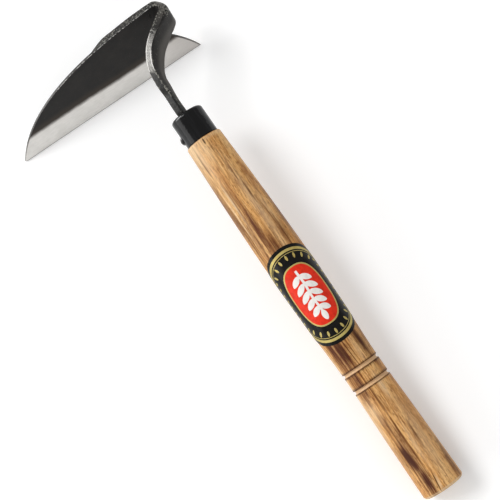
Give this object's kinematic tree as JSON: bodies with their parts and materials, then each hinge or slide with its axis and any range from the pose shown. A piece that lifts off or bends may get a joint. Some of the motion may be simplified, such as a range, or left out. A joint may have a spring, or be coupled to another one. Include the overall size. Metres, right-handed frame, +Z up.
{
  "type": "weeding sickle",
  "caption": "Hand sickle for weeding: laminated blade with a straight ground edge, a neck folded back over it as a twisted strap, and a turned wooden handle with a steel ferrule.",
  "frame": {"origin": "centre of the bounding box's bottom, on the surface the sickle lies on", "axes": "+Z up, +X along the handle towards the butt, which dips 6.6 degrees below it, +Y towards the blade's heel, so the blade's tip is at -Y"},
  "size_m": [0.3518, 0.138, 0.0563],
  "materials": {
    "forge_scale": "black forge scale, the front bevel and the inner side of the strap ground bright",
    "ground_steel": "finely ground",
    "black_lacquer": "gloss",
    "black_nail": "satin",
    "toasted_wood": "scorched and lightly oiled, with light turned grooves",
    "label_film": "printed film in black, red and gold"
  },
  "bodies": {
    "root": {"blade_forging": "forge_scale", "edge_steel": "ground_steel", "ferrule": "black_lacquer", "ferrule_pin": "black_nail", "handle": "toasted_wood", "label": "label_film"}
  },
  "joints": []
}
